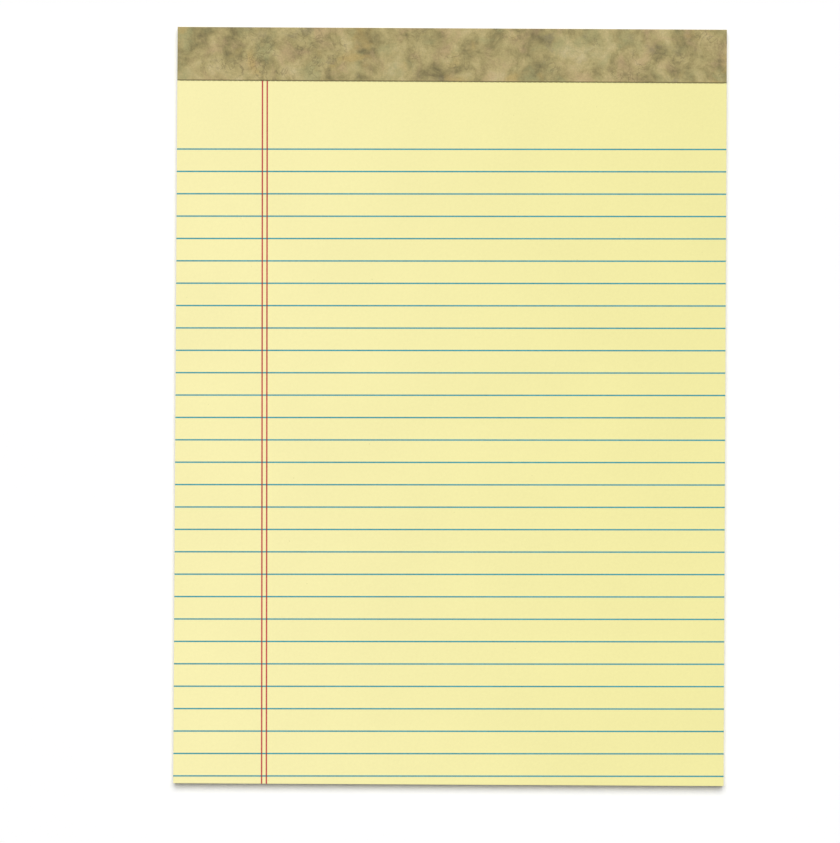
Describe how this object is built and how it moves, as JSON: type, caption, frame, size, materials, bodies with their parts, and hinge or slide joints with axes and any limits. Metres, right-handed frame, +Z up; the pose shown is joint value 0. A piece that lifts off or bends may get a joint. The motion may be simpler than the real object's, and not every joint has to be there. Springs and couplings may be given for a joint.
{
  "type": "legal pad",
  "caption": "Letter-width legal pad: yellow ruled leaves with a red double margin on a chipboard back, bound along the top with a folded mottled paper tape.",
  "frame": {"origin": "Middle of the pad's underside, on the plane that it lies on.", "axes": "+X runs to the right across the ruled page, +Y towards the bound edge, +Z up out of the ruled face."},
  "size_m": [0.216, 0.297, 0.0056],
  "materials": {
    "canary_paper": "matte, uncoated",
    "chipboard": "matte, fibrous",
    "mottled_tape_paper": "matte, printed mottle",
    "stitching_wire": "satin, galvanized",
    "blue_ink": "matte printed line",
    "red_ink": "matte printed line"
  },
  "bodies": {
    "root": {"ruled_sheets": "canary_paper", "backing_board": "chipboard", "binding_tape": "mottled_tape_paper", "staples": "stitching_wire"}
  },
  "joints": []
}
